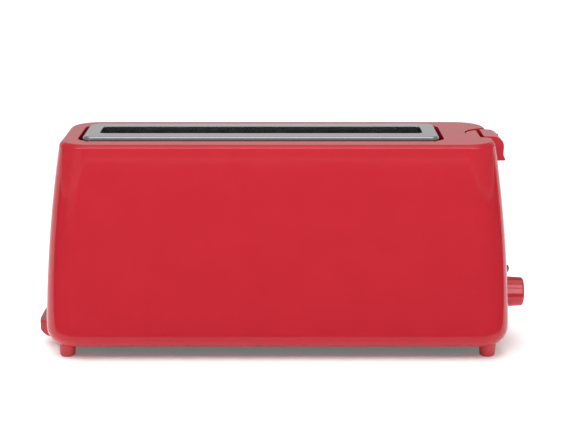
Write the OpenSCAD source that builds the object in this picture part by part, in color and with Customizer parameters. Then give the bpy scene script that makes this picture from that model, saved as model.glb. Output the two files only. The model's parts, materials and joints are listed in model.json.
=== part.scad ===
// Pop up toaster with one long slot: a moulded shell round a sheet metal heating chamber,
// with the lever, the stop button and the browning knob on the right-hand end.
// X runs along the slot towards the knob, Y from front to back and Z up from the table.

/* [Shell] */
// Length of the shell at its widest
shell_len = 381.2; // [360:0.1:460]
// Depth of the shell at its widest
shell_depth = 126; // [120:0.5:152]
// Height of the deck above the table
deck_z = 178.6; // [174:0.1:215]
// Height of the shell's underside above the table
shell_z = 9; // [7:0.5:10]
// Thickness of the shell's wall
wall = 2.5; // [2:0.1:3]
// Radius of the shell's upright corners
corner_r = 25; // [20:1:30]
// Radius round the deck's edge
deck_r = 4; // [3:0.5:5]
// Radius round the shell's underside
under_r = 16; // [14:0.5:18]
// How far each end leans in between the belly and the deck
end_lean = 14.9; // [10:0.1:16]
// How far the front and the back lean in
side_lean = 8; // [5:0.1:9]
// Share of the lean that follows a curve rather than a straight line
lean_bow = 0.63; // [0:0.01:1]

/* [Top plate] */
// Left end of the plate, from the shell's left end
plate_left = 32.5; // [32:0.1:40]
// Right end of the plate, from the shell's right end
plate_right = 59.1; // [59:0.1:64]
// Width of the plate
plate_w = 64.8; // [62:0.2:68]
// Radius of the plate's corners
plate_r = 8.5; // [6:0.5:10]
// Gap between the plate and the deck
plate_gap = 3.8; // [3:0.1:4.5]
// Height of the plate's edge above the deck
plate_rise = 2.35; // [1:0.05:3]
// Further rise from the plate's edge to the slot
plate_crown = 0.4; // [0.3:0.05:1.5]
// Width of the bread slot
slot_w = 29.7; // [26:0.1:34]
// Metal left beyond each end of the slot
slot_margin = 13.5; // [11:0.5:18]
// Radius of the slot's corners
slot_r = 4; // [2:0.5:6]
// Thickness of the plate
plate_t = 0.8; // [0.6:0.1:1]

/* [Lever] */
// Travel of the lever, the carriage and the rack
travel = 72; // [58:1:87]
// Width of the lever's cap
cap_w = 32; // [24:1:38]
// Height of the lever's cap
cap_h = 20.2; // [20:0.1:26]
// Gap on each side of the cap in its well
cap_gap = 1; // [0.6:0.1:2]
// Radius of the cap's outer top edge
cap_r = 9; // [6:0.5:10]

/* [Knob and button] */
// Diameter of the browning knob at its base
knob_d = 26.2; // [22:0.1:32]
// Length of the knob
knob_l = 18.1; // [16:0.1:22]
// Height of the knob's axis above the table
knob_z = 41.9; // [40:0.1:44]
// Diameter of the stop button
button_d = 6.6; // [5:0.1:9]
// Height of the stop button above the table
button_z = 62.2; // [61:0.1:64]
// Travel of the stop button
button_travel = 1.5; // [1:0.1:2]

/* [Feet and tray] */
// Diameter of a foot
foot_d = 14; // [12:0.5:17]
// Width of the tray's handle
handle_w = 42; // [34:1:50]
// Width of the crumb tray
tray_w = 60; // [54:1:60]
// Depth of the crumb tray's walls
tray_h = 6.5; // [5:0.5:7]

/* [Chamber] */
// Thickness of the chamber's sheet steel
sheet_t = 0.5; // [0.4:0.1:0.8]
// Thickness of the chamber's end plates
end_t = 0.8; // [0.6:0.1:1.2]
// Distance of each heater board from the middle
heater_y = 25; // [23:0.5:26]
// Number of turns on each heater board
turns = 22; // [12:1:26]
// Number of upright wires in each bread guard
guard_wires = 14; // [8:1:18]
// Radius of a guard's hinge wire
pin_r = 1.2; // [1:0.1:1.5]
// Number of cross wires on the bread rack
rack_wires = 12; // [6:1:16]
// Radius of the carriage's guide rod
rod_r = 2.5; // [2:0.1:3]

/* [Hidden] */

eps = 0.02;
fit = 0.05;
seat = 0.3;
hl = shell_len / 2;
hd = shell_depth / 2;
belly_z = 30;

// Deck, plate and slot
plate_x0 = -hl + plate_left;
plate_x1 = hl - plate_right;
slot_x0 = plate_x0 + slot_margin;
slot_x1 = plate_x1 - slot_margin;
plate_edge_z = deck_z + plate_rise;
plate_top_z = plate_edge_z + plate_crown;
skirt_z = deck_z - 7;
collar_z = deck_z - 10.5;

// Chamber
chamber_x0 = slot_x0 - 5.4;
chamber_x1 = slot_x1 + 6;
base_t = 2;
base_z = shell_z + base_t;
rail_h = 1;
tray_z = base_z + rail_h;
tray_t = 0.6;
tray_top = tray_z + tray_h;
tray_x0 = -hl + 4.5;
tray_x1 = chamber_x1 - 5;
reflector_y = plate_w / 2 - plate_t - sheet_t;
reflector_x0 = plate_x0 + plate_t;
reflector_x1 = plate_x1 - plate_t;
reflector_top = deck_z - 0.6;

// Lift: rack, carriage and lever
strip_h = 10;
strip_t = 2;
rack_z = tray_top + 13.5 + travel;
rack_x0 = chamber_x0 - 6;
rod_x = chamber_x1 + 16;
plate_x = chamber_x1 + 22;
carriage_t = 1.5;
sleeve_r = rod_r + 2.5;
cap_z = deck_z - cap_h;
cap_x0 = hl - 21.6;
cap_x1 = hl - 5;
tongue_z = cap_z + 1;
tongue_h = 5;
tongue_t = 2;
bracket_z = tongue_z + tongue_h + 2;
keeper_t = 2;
keeper_z = rack_z + 4;
shelf_z = keeper_z + keeper_t;
keeper_x = plate_x + 10;
keeper_y = -12;
spring_x = plate_x + 6;
spring_y = 11;
spring_z0 = shelf_z + 1;
spring_z1 = bracket_z - 1;

// Well for the lever
well_w = cap_w + 2 * cap_gap;
well_x = cap_x0 - 3;
well_room = 9.9;
well_z = cap_z - travel - well_room;
slit_w = tongue_t + 2;

// Finger dish round the lever
dish_x = hl - 13.6;
dish_r = 22;
dish_depth = 0.7;

// Guards
pin_y = 15.5;
pin_z = tray_top + 5.5;
guard_y = slot_w / 2 - 0.85;
flare_y = guard_y + 3.5;
guard_bend_z = deck_z - 29;
guard_top_z = deck_z - 12;
guard_wire_r = 0.8;
mid_wire_r = 1;

// Heater boards
mica_t = 1;
mica_z0 = base_z + 19;
mica_z1 = deck_z - 14;
mica_tab = 2;
ribbon_w = 1.6;
ribbon_t = 0.4;

// Controls
board_t = 1.6;
board_x = hl - 18.6;
board_w = 60;
board_z0 = base_z + 2;
board_z1 = well_z - wall - 1.5;
can_r = 4;
can_h = 9.4;
can_y = 16;
can_z = 56;
pot_d = 16;
pot_l = 7.4;
bush_r = 4.5;
shaft_r = 3;
knob_x = hl + 0.4;
shaft_x1 = knob_x + 12;
button_tip = hl + 5.4;
switch_x = board_x + board_t + 4.4;
contact_z = base_z + 34;
contact_y = 22;
arm_z = contact_z - 1.6 + travel + seat;

// Fasteners
screw_r = 1.25;
foot_x = hl - 17.2;
foot_y = hd - 19.5;
foot_top = shell_z + 4;
post_x = foot_x - 23;
post_y = hd - 25;
post_r = 4;
post_h = 18;
boss_r = foot_d / 2 + 2.5;
boss_h = 15;
tab_x = [-hl + 90, 0, hl - 90];
tab_y = reflector_y + sheet_t + 5;

// Back of the toaster, where the mains lead enters
gland_x = hl - 62;
gland_z = 34;
gland_r = 5;
gland_bore_r = 3.3;
block_x0 = gland_x - 17;
block_x1 = gland_x + 1;
block_y = hd - 24.5;

// The handle's outermost point and the frame's shift, which centres the whole on X = 0
handle_x = -hl - 9.9;
bow_r = 140;
handle_wall = 2;
handle_drop = 14.5;
handle_top = 23;
frame_x = -(knob_x + knob_l + handle_x) / 2;

module in_frame() {
    translate([frame_x, 0, 0]) children();
}

// Helpers

function rounded(r, d) = r - sqrt(max(0, r * r - d * d));

function lean(z, total) =
    let (t = max(0, (z - belly_z) / (deck_z - belly_z)))
    total * ((1 - lean_bow) * t + lean_bow * t * t);

function inset(z, w) =
    w + rounded(under_r - w, max(0, shell_z + under_r - z))
    + rounded(deck_r - w, max(0, z - deck_z + deck_r));

// X of the shell's outer face at height z
function end_x(z) = hl - lean(z, end_lean) - inset(z, 0);

module plan(x0, x1, w, r) {
    translate([x0 + r, -w / 2]) square([x1 - x0 - 2 * r, w]);
    translate([x0, -w / 2 + r]) square([x1 - x0, w - 2 * r]);
    for (x = [x0 + r, x1 - r]) for (y = [-w / 2 + r, w / 2 - r]) translate([x, y]) circle(r, $fn = 48);
}

module slab(x0, x1, w, r, z0, z1) {
    translate([0, 0, z0]) linear_extrude(z1 - z0) plan(x0, x1, w, r);
}

module box(x0, x1, y0, y1, z0, z1) {
    translate([x0, y0, z0]) cube([x1 - x0, y1 - y0, z1 - z0]);
}

module rod_x(x0, x1, y, z, r) {
    translate([x0, y, z]) rotate([0, 90, 0]) cylinder(h = x1 - x0, r = r, $fn = 48);
}

module rod_y(x, y0, y1, z, r) {
    translate([x, y0, z]) rotate([-90, 0, 0]) cylinder(h = y1 - y0, r = r, $fn = 48);
}

module rod_z(x, y, z0, z1, r) {
    translate([x, y, z0]) cylinder(h = z1 - z0, r = r, $fn = 48);
}

// A straight wire between two points in the YZ plane at x, run on past both of them
module wire_yz(x, a, b, r, more) {
    d = b - a;
    translate([x, a[0], a[1]]) rotate([-atan2(d[0], d[1]), 0, 0]) translate([0, 0, -more])
        cylinder(h = norm(d) + 2 * more, r = r, $fn = 24);
}

// A pan-head screw standing on z, with its head below and its shank above
module screw(x, y, z, l, head_r, head_h) {
    translate([x, y, z]) difference() {
        union() {
            translate([0, 0, -head_h]) cylinder(h = head_h, r = head_r, $fn = 48);
            cylinder(h = l, r = screw_r, $fn = 48);
        }
        for (a = [0, 90]) rotate(a) translate([-head_r * 0.6, -0.4, -head_h - eps]) cube([head_r * 1.2, 0.8, 1]);
    }
}

// A round wire swept along a list of points
function unit(v) = v / norm(v);

function tangent(p, i) = unit(p[min(i + 1, len(p) - 1)] - p[max(i - 1, 0)]);

function ring(p, i, r, n, up) =
    let (t = tangent(p, i), u = unit(cross(t, up)), v = cross(t, u))
    [for (k = [0:n - 1]) p[i] + r * (cos(360 * k / n) * u + sin(360 * k / n) * v)];

module tube(p, r, n, up) {
    m = len(p);
    points = [for (i = [0:m - 1]) each ring(p, i, r, n, up)];
    sides = [for (i = [0:m - 2]) for (k = [0:n - 1]) let (a = i * n + k, b = i * n + (k + 1) % n)
        each [[a, b, b + n], [a, b + n, a + n]]];
    ends = [[for (k = [0:n - 1]) n - 1 - k], [for (k = [0:n - 1]) (m - 1) * n + k]];
    polyhedron(points, concat(sides, ends));
}

// Points along a path whose corners are rounded by quadratic curves
function soften(q, steps) =
    let (n = len(q))
    concat(
        [q[0]],
        [for (i = [1:n - 2]) for (s = [0:steps])
            let (t = s / steps, a = (q[i - 1] + q[i]) / 2, b = (q[i] + q[i + 1]) / 2)
            (1 - t) * (1 - t) * a + 2 * t * (1 - t) * q[i] + t * t * b],
        [q[n - 1]]
    );

module lead(q, r) {
    p = soften(q, 6);
    clean = [for (i = [0:len(p) - 1]) if (i == 0 || norm(p[i] - p[i - 1]) > 0.01) p[i]];
    tube(clean, r, 8, [0.31, 0.52, 0.79]);
}

// Shell

module shell_form(w) {
    low = [for (a = [0:15:75]) shell_z + under_r - (under_r - w) * cos(a)];
    mid = [for (i = [0:8]) shell_z + under_r + i * (deck_z - deck_r - shell_z - under_r) / 8];
    high = [for (a = [22.5:22.5:90]) deck_z - deck_r + (deck_r - w) * sin(a) - eps];
    hull() for (z = concat(low, mid, high)) {
        x = hl - lean(z, end_lean) - inset(z, w);
        y = hd - lean(z, side_lean) - inset(z, w);
        r = corner_r - inset(z, w);
        translate([0, 0, z]) linear_extrude(eps) for (i = [-1, 1]) for (j = [-1, 1])
            translate([i * (x - r), j * (y - r)]) circle(r, $fn = 32);
    }
}

module at_feet() {
    for (x = [-foot_x, foot_x]) for (y = [-foot_y, foot_y]) translate([x, y, 0]) children();
}

module at_posts() {
    for (x = [-post_x, post_x]) for (y = [-1, 1]) translate([x, y * post_y, 0]) children();
}

// The underside's opening, which the base plate fills
module base_outline(gap) {
    x = hl - under_r - 2.6 - gap;
    difference() {
        plan(-x, x, 2 * (hd - under_r - 2.5 - gap), 7);
        at_feet() circle(boss_r + gap, $fn = 48);
    }
}

module housing_ribs() {
    at_feet() translate([0, 0, shell_z]) cylinder(h = boss_h, r = boss_r, $fn = 48);
    at_posts() translate([0, 0, base_z]) cylinder(h = post_h, r = post_r, $fn = 48);
    for (x = [-post_x, post_x]) {
        box(x - 1, x + 1, post_y, hd, base_z, base_z + post_h);
        box(x - 1, x + 1, -hd, -post_y, base_z, base_z + post_h);
    }
    box(well_x - wall, hl, -well_w / 2 - wall, well_w / 2 + wall, well_z - wall, deck_z);
    box(board_x - 2, board_x + board_t + 2, -board_w / 2, board_w / 2, base_z + 0.2, board_z0 + 2);
    difference() {
        slab(plate_x0 - plate_gap - 2, plate_x1 + plate_gap + 2, plate_w + 2 * plate_gap + 4,
            plate_r + plate_gap + 2, collar_z, deck_z);
        slab(plate_x0 - plate_gap, plate_x1 + plate_gap, plate_w + 2 * plate_gap,
            plate_r + plate_gap, collar_z - 1, deck_z + 1);
    }
}

module housing_cuts() {
    translate([0, 0, shell_z - 1]) linear_extrude(base_t + 1) base_outline(0);
    translate([0, 0, base_z - eps]) linear_extrude(1) difference() {
        base_outline(0);
        at_posts() circle(post_r, $fn = 48);
        for (x = [-post_x, post_x]) for (y = [-hd, post_y]) translate([x - 1, y]) square([2, hd - post_y]);
    }
    slab(plate_x0 - plate_gap, plate_x1 + plate_gap, plate_w + 2 * plate_gap,
        plate_r + plate_gap, collar_z - 1, deck_z + 1);
    box(well_x, hl + 5, -well_w / 2, well_w / 2, well_z, deck_z + 5);
    box(well_x - wall - 1, well_x + 1, -slit_w / 2, slit_w / 2, tongue_z - travel - 1, tongue_z + tongue_h + 1);
    translate([dish_x, 0, deck_z - dish_depth]) cylinder(h = 5, r = dish_r, $fn = 96);
    rod_x(hl - 12, hl + 5, 0, knob_z, bush_r + 0.5);
    rod_x(hl - 12, hl + 5, 0, button_z, button_d / 2 + 0.3);
    box(-hl - 5, -hl + 20, -tray_w / 2 - 1, tray_w / 2 + 1, tray_z - 0.3, tray_top + 1);
    box(board_x, board_x + board_t, -board_w / 2 - 1, board_w / 2 + 1, board_z0, board_z0 + 3);
    at_feet() translate([0, 0, shell_z - 5]) cylinder(h = foot_top - shell_z + 5, r = foot_d / 2 + fit, $fn = 48);
    at_feet() translate([0, 0, foot_top - 1]) cylinder(h = 9, r = screw_r, $fn = 48);
    at_posts() translate([0, 0, base_z - 1]) cylinder(h = 13, r = screw_r, $fn = 48);
    rod_y(gland_x, hd - 10, hd + 5, gland_z, gland_r + fit);
}

module housing() {
    color("crimson") difference() {
        union() {
            difference() {
                shell_form(0);
                shell_form(wall);
            }
            intersection() {
                shell_form(wall / 2);
                housing_ribs();
            }
        }
        housing_cuts();
    }
}

module crown(drop) {
    hull() {
        slab(plate_x0, plate_x1, plate_w, plate_r, plate_edge_z - drop - plate_t, plate_edge_z - drop);
        slab(slot_x0 - 1.5, slot_x1 + 1.5, slot_w + 3, slot_r + 1.5, plate_edge_z - drop, plate_top_z - drop);
    }
}

module top_plate() {
    t = plate_t;
    color("silver") difference() {
        union() {
            difference() {
                crown(0);
                crown(t);
                slab(plate_x0 + t, plate_x1 - t, plate_w - 2 * t, plate_r - t, plate_edge_z - 5, plate_edge_z - t);
            }
            difference() {
                slab(plate_x0, plate_x1, plate_w, plate_r, skirt_z, plate_edge_z - t / 2);
                slab(plate_x0 + t, plate_x1 - t, plate_w - 2 * t, plate_r - t, skirt_z - 1, plate_edge_z);
            }
            slab(slot_x0 - t, slot_x1 + t, slot_w + 2 * t, slot_r + t, skirt_z, plate_top_z - t / 2);
        }
        slab(slot_x0, slot_x1, slot_w, slot_r, skirt_z - 1, plate_top_z + 1);
    }
}

// Base, feet and screws

module base_plate() {
    color("dimgray") difference() {
        union() {
            translate([0, 0, shell_z]) linear_extrude(base_t) base_outline(seat);
            for (y = [-24, 24]) box(-hl + 26, tray_x1, y - 1.5, y + 1.5, base_z - 1, tray_z);
        }
        at_posts() translate([0, 0, shell_z - 1]) cylinder(h = base_t + 2, r = screw_r + 0.2, $fn = 48);
        at_tabs() translate([0, 0, shell_z - 1]) cylinder(h = base_t + 2, r = screw_r, $fn = 48);
        at_bay_screws() translate([0, 0, shell_z - 1]) cylinder(h = base_t + 2, r = screw_r, $fn = 48);
        for (x = [-hl + 60:24:hl - 90]) for (y = [-1, 1])
            cooling_slot(x, y * 14);
    }
}

// A round-ended cooling slot across the base
module cooling_slot(x, y) {
    translate([x, y, shell_z - 1]) linear_extrude(base_t + 3) {
        translate([-1.5, -6]) square([3, 12]);
        for (e = [-6, 6]) translate([0, e]) circle(1.5, $fn = 24);
    }
}

module at_tabs() {
    for (x = tab_x) for (y = [-tab_y, tab_y]) translate([x, y, 0]) children();
}

module at_bay_screws() {
    for (y = [-1, 1]) translate([chamber_x1 + 10, y * 18, 0]) children();
    translate([keeper_x + 10.8, keeper_y, 0]) children();
}

module foot() {
    r = foot_d / 2;
    difference() {
        rotate_extrude($fn = 64) polygon(concat(
            [[0, 0]],
            [for (a = [0:15:90]) [r - 2.6 + 2 * sin(a), 2 - 2 * cos(a)]],
            [[r, shell_z], [r, foot_top], [0, foot_top]]
        ));
        translate([0, 0, -1]) cylinder(h = 6, r = 3.6, $fn = 48);
        translate([0, 0, 4]) cylinder(h = 20, r = screw_r + 0.3, $fn = 48);
    }
}

module feet() {
    color("crimson") at_feet() foot();
}

module foot_screws() {
    color("silver") at_feet() screw(0, 0, 5, foot_top + 3, 3.3, 2.2);
}

module base_screws() {
    color("silver") at_posts() screw(0, 0, shell_z, base_t + 9, 3, 2);
}

module chassis_screws() {
    color("silver") {
        at_tabs() translate([0, 0, base_z + sheet_t]) mirror([0, 0, 1]) screw(0, 0, 0, base_t, 2.6, 1.8);
        at_bay_screws() translate([0, 0, base_z + end_t]) mirror([0, 0, 1]) screw(0, 0, 0, base_t, 2.6, 1.8);
    }
}

// Crumb tray

module crumb_tray() {
    t = tray_t;
    color("lightgray") {
        difference() {
            box(tray_x0, tray_x1, -tray_w / 2, tray_w / 2, tray_z, tray_top);
            box(tray_x0 + t, tray_x1 - t, -tray_w / 2 + t, tray_w / 2 - t, tray_z + t, tray_top + 1);
        }
    }
}

module tray_handle() {
    face = [for (a = [0:10:70]) [handle_x + 7.2 * (1 - cos(a)), handle_top - 1 - 14 * sin(a)]];
    color("crimson") difference() {
        intersection() {
            translate([0, handle_w / 2, 0]) rotate([90, 0, 0]) linear_extrude(handle_w) polygon(concat(
                [[-hl + 4, handle_top], [handle_x + 1, handle_top]],
                face,
                [[-hl + 4, handle_top - handle_drop]]
            ));
            translate([0, 0, -1]) linear_extrude(60) intersection() {
                translate([handle_x + bow_r, 0]) circle(bow_r, $fn = 180);
                translate([handle_x - 1, -handle_w / 2]) square([40, handle_w]);
            }
        }
        shell_form(-seat);
        box(-hl - 6.5, -hl + 20, -handle_w / 2 + handle_wall, handle_w / 2 - handle_wall,
            tray_top + 2, handle_top - handle_wall);
    }
    color("crimson") box(tray_x0 - 8, tray_x0, -handle_w / 2 + 4, handle_w / 2 - 4, tray_z + 0.2, tray_top - 0.5);
}

// Lift

module cap_profile() {
    polygon(concat(
        [[cap_x0, cap_z + 12], [cap_x0, deck_z]],
        [for (a = [90:-10:0]) [cap_x1 - cap_r + cap_r * cos(a), deck_z - cap_r + cap_r * sin(a)]],
        [
            [cap_x1 - 0.2, cap_z + 5], [cap_x1 + 0.6, cap_z + 2.8], [cap_x1 + 1.4, cap_z + 1.6],
            [cap_x1 + 1.2, cap_z + 0.3], [cap_x1 + 0.6, cap_z], [cap_x1 - 4, cap_z], [cap_x1 - 4, cap_z + 12]
        ]
    ));
}

module cap_hollow() {
    t = 2.5;
    r = cap_r - t;
    polygon(concat(
        [[cap_x0 - 1, cap_z + 11], [cap_x0 - 1, deck_z - t]],
        [for (a = [90:-15:0]) [cap_x1 - t - r + r * cos(a), deck_z - t - r + r * sin(a)]],
        [[cap_x1 - t - 0.3, cap_z + 6], [cap_x1 - 4, cap_z - 1], [cap_x1 - 5, cap_z - 1]]
    ));
}

module upright(w) {
    translate([0, w / 2, 0]) rotate([90, 0, 0]) linear_extrude(w) children();
}

module lever_cap() {
    color("crimson") difference() {
        union() {
            difference() {
                upright(cap_w) cap_profile();
                upright(cap_w - 4) cap_hollow();
            }
            for (y = [-cap_w / 2, cap_w / 2 - 2]) box(cap_x0, cap_x1 - 2.5, y, y + 2, cap_z + 1, deck_z - 6);
            box(cap_x0 + 4, cap_x1 - 2, -4, 4, tongue_z - 1, tongue_z + tongue_h + 2);
            box(cap_x0 + 4, cap_x1 - 3, -1.5, 1.5, tongue_z + tongue_h + 1, deck_z - 2);
        }
        box(cap_x0 - 1, cap_x1 - 4, -tongue_t / 2, tongue_t / 2, tongue_z, tongue_z + tongue_h);
    }
}

module sleeve(z) {
    rod_z(rod_x, 0, z, z + tongue_h, sleeve_r);
    box(rod_x, plate_x + 1, -3, 3, z, z + tongue_h);
}

module carriage() {
    color("darkgray") difference() {
        union() {
            box(plate_x, plate_x + carriage_t, -18, 16, rack_z - strip_h, tongue_z + tongue_h);
            sleeve(rack_z - strip_h);
            sleeve(tongue_z);
            box(chamber_x1 + 3, rod_x - sleeve_r + 2, strip_t / 2, strip_t / 2 + 2, rack_z - strip_h, rack_z - 1);
            box(plate_x + 1, cap_x1 - 4, -tongue_t / 2, tongue_t / 2, tongue_z, tongue_z + tongue_h);
            box(plate_x, keeper_x + 6, keeper_y - 6, keeper_y + 6, shelf_z, shelf_z + carriage_t);
            box(plate_x, spring_x + 2, spring_y - 0.8, spring_y + 0.8, spring_z0 - 5, spring_z0 - 1);
            for (y = [-contact_y - 3, contact_y - 7]) box(plate_x, board_x - 11, y, y + 10, arm_z, arm_z + carriage_t);
        }
        rod_z(rod_x, 0, rack_z - strip_h - 1, tongue_z + tongue_h + 1, rod_r + fit);
        rod_z(keeper_x, keeper_y, shelf_z - 1, shelf_z + carriage_t + 1, 1.6);
        for (x = [6, 10]) rod_y(chamber_x1 + x - 1, 0, strip_t / 2 + 3, rack_z - 5, 1);
    }
}

module bread_rack() {
    pitch = (chamber_x1 - chamber_x0 - 24) / (rack_wires - 1);
    color("lightgray") difference() {
        union() {
            box(rack_x0, rod_x - sleeve_r - 0.5, -strip_t / 2, strip_t / 2, rack_z - strip_h, rack_z);
            for (i = [0:rack_wires - 1]) rod_y(chamber_x0 + 12 + i * pitch, -9, 9, rack_z - 2, 1.2);
        }
        for (x = [6, 10]) rod_y(chamber_x1 + x - 1, -5, 5, rack_z - 5, 1);
    }
}

module rack_rivets() {
    color("silver") for (x = [6, 10]) {
        rod_y(chamber_x1 + x - 1, -strip_t / 2, strip_t / 2 + 2, rack_z - 5, 1);
        rod_y(chamber_x1 + x - 1, -strip_t / 2 - 0.8, -strip_t / 2, rack_z - 5, 1.8);
        rod_y(chamber_x1 + x - 1, strip_t / 2 + 2, strip_t / 2 + 2.8, rack_z - 5, 1.8);
    }
}

module keeper() {
    color("gray") {
        box(keeper_x - 6, keeper_x + 6, keeper_y - 6, keeper_y + 6, keeper_z, shelf_z);
        rod_z(keeper_x, keeper_y, shelf_z - 0.5, shelf_z + carriage_t, 1.6);
        rod_z(keeper_x, keeper_y, shelf_z + carriage_t, shelf_z + carriage_t + 1, 2.8);
    }
}

module guide_rod() {
    color("silver") rod_z(rod_x, 0, base_z, bracket_z + end_t + 1, rod_r);
}

// A close-wound tension spring, whose turns touch while the lever is up
module return_spring() {
    r = 3;
    wire = 0.5;
    z0 = spring_z0 + 4;
    z1 = spring_z1 - 4;
    loops = floor((z1 - z0) / (2 * wire));
    pitch = (z1 - z0) / loops;
    turns_outline = [for (i = [0:loops - 1]) for (a = [-60:40:60])
        [r + wire * cos(a), z0 + (i + 0.5) * pitch + wire * sin(a)]];
    color("silver") {
        translate([spring_x, spring_y, 0]) rotate_extrude($fn = 32)
            polygon(concat([[r - wire, z0], [r, z0]], turns_outline, [[r, z1], [r - wire, z1]]));
        for (z = [z0 - 0.2, z1 - 0.8]) rod_y(spring_x, spring_y - r, spring_y + r, z + wire, wire * 0.8);
        rod_z(spring_x, spring_y, spring_z0, z0, wire * 0.9);
        rod_z(spring_x, spring_y, z1, spring_z1, wire * 0.9);
    }
}

module top_bracket() {
    color("darkgray") difference() {
        union() {
            box(chamber_x1 + end_t, spring_x + 5, -14, 16, bracket_z, bracket_z + end_t);
            box(chamber_x1 + end_t, chamber_x1 + 2 * end_t, -14, 16, bracket_z - 14, bracket_z + end_t);
            box(spring_x - 0.8, spring_x + 0.8, spring_y - 3, spring_y + 3, bracket_z - 1, bracket_z + 0.2);
        }
        rod_z(rod_x, 0, bracket_z - 2, bracket_z + 5, rod_r);
    }
}

module top_bumper() {
    color("black") difference() {
        rod_z(rod_x, 0, bracket_z - 1.7, bracket_z, sleeve_r);
        rod_z(rod_x, 0, bracket_z - 3, bracket_z + 1, rod_r);
    }
}

// Chamber

module end_sheet(x, z0) {
    y = reflector_y;
    difference() {
        box(x, x + end_t, -y, y, z0, skirt_z - 1);
        box(x - 1, x + end_t + 1, -1.6, 1.6, rack_z - travel - strip_h - 1.5, rack_z + 2);
        for (s = [-1, 1]) {
            rod_x(x - 1, x + end_t + 1, s * pin_y, pin_z, pin_r + fit);
            for (z = [mica_z0 + 10, mica_z1 - 24])
                box(x - 1, x + end_t + 1, s * heater_y - mica_t / 2, s * heater_y + mica_t / 2, z, z + 12);
        }
    }
}

module end_plate_left() {
    x = chamber_x0 - end_t;
    y = reflector_y;
    z = tray_top + 2;
    color("gainsboro") {
        end_sheet(x, z);
        for (s = [[-y, -y + end_t], [y - end_t, y]]) box(reflector_x0 + 1, x + end_t, s[0], s[1], z + 10, skirt_z - 8);
    }
}

module end_plate_right() {
    y = reflector_y;
    x = chamber_x1;
    color("gainsboro") difference() {
        union() {
            end_sheet(x, base_z);
            for (s = [[-y, -y + end_t], [y - end_t, y]]) box(x, reflector_x1 - 1, s[0], s[1], base_z + 12, bracket_z - 20);
            box(x, x + 13, -y, y, base_z, base_z + end_t);
        }
        at_bay_screws() translate([0, 0, base_z - 1]) cylinder(h = 5, r = screw_r, $fn = 48);
    }
}

module reflector() {
    y = reflector_y;
    difference() {
        union() {
            box(reflector_x0, reflector_x1, y, y + sheet_t, base_z, skirt_z - 0.5);
            box(reflector_x0 + plate_r, reflector_x1 - plate_r, y, y + sheet_t, base_z, reflector_top);
            for (x = tab_x) box(x - 10, x + 10, y, tab_y + 5, base_z, base_z + sheet_t);
        }
        at_tabs() translate([0, 0, base_z - 1]) cylinder(h = 5, r = screw_r, $fn = 48);
    }
}

module reflector_back() {
    color("gainsboro") reflector();
}

module reflector_front() {
    color("gainsboro") mirror([0, 1, 0]) reflector();
}

module mica(y) {
    a = mica_t / 2;
    box(chamber_x0, chamber_x1, y - a, y + a, mica_z0, mica_z1);
    for (z = [mica_z0 + 10, mica_z1 - 24])
        box(chamber_x0 - end_t - mica_tab, chamber_x1 + end_t + mica_tab, y - a, y + a, z, z + 12);
}

module mica_front() {
    color("tan") mica(-heater_y);
}

module mica_back() {
    color("tan") mica(heater_y);
}

// A flat ribbon wound round the board, with a short link between each turn and the next
module winding(y) {
    a = mica_t / 2;
    pitch = (chamber_x1 - chamber_x0 - 30) / (turns - 1);
    for (i = [0:turns - 1]) translate([chamber_x0 + 15 + i * pitch, 0, 0]) {
        difference() {
            box(-ribbon_w / 2, ribbon_w / 2, y - a - ribbon_t, y + a + ribbon_t, mica_z0 - ribbon_t, mica_z1 + ribbon_t);
            box(-ribbon_w, ribbon_w, y - a, y + a, mica_z0, mica_z1);
        }
        if (i < turns - 1) box(0, pitch, y - a - ribbon_t, y - a, mica_z0 + 1, mica_z0 + 1 + ribbon_w);
    }
}

module winding_front() {
    color("slategray") winding(-heater_y);
}

module winding_back() {
    color("slategray") winding(heater_y);
}

// Joins the two windings in series at the left end, behind the left end plate
module heater_link() {
    x = chamber_x0 - end_t - mica_tab;
    z = mica_z1 - 20;
    color("silver") box(x - 0.6, x, -heater_y - 3, heater_y + 3, z, z + 5);
}

// A welded grid: the upright wires lie on the bread's side of the three long ones
module guard() {
    pitch = (chamber_x1 - chamber_x0 - 18) / (guard_wires - 1);
    weld = 0.25;
    low_y = pin_y - pin_r - guard_wire_r + weld;
    rod_x(chamber_x0 - end_t - 1, chamber_x1 + end_t + 1, pin_y, pin_z, pin_r);
    rod_x(chamber_x0 + 7, chamber_x1 - 7, guard_y + mid_wire_r + guard_wire_r - weld, guard_bend_z - 6, mid_wire_r);
    rod_x(chamber_x0 + 7, chamber_x1 - 7, flare_y + mid_wire_r + guard_wire_r - weld, guard_top_z - 1, mid_wire_r);
    for (i = [0:guard_wires - 1]) {
        x = chamber_x0 + 9 + i * pitch;
        wire_yz(x, [low_y, pin_z], [guard_y, guard_bend_z], guard_wire_r, 0.6);
        wire_yz(x, [guard_y, guard_bend_z], [flare_y, guard_top_z], guard_wire_r, 0.2);
    }
}

module guard_back() {
    color("silver") guard();
}

module guard_front() {
    color("silver") mirror([0, 1, 0]) guard();
}

// Electromagnet

magnet_top = keeper_z - travel - seat;

module magnet_bracket() {
    color("darkgray") difference() {
        union() {
            box(keeper_x - 8, keeper_x + 13.6, keeper_y - 8, keeper_y + 8, base_z, base_z + end_t);
            box(keeper_x + 6.9, keeper_x + 7.9, keeper_y - 5, keeper_y + 5, base_z, magnet_top);
        }
        at_bay_screws() translate([0, 0, base_z - 1]) cylinder(h = 5, r = screw_r, $fn = 48);
    }
}

module magnet_core() {
    color("gray") {
        rod_z(keeper_x, keeper_y, base_z + end_t, magnet_top, 3);
        rod_z(keeper_x, keeper_y, magnet_top - 1.2, magnet_top, 4);
    }
}

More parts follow.
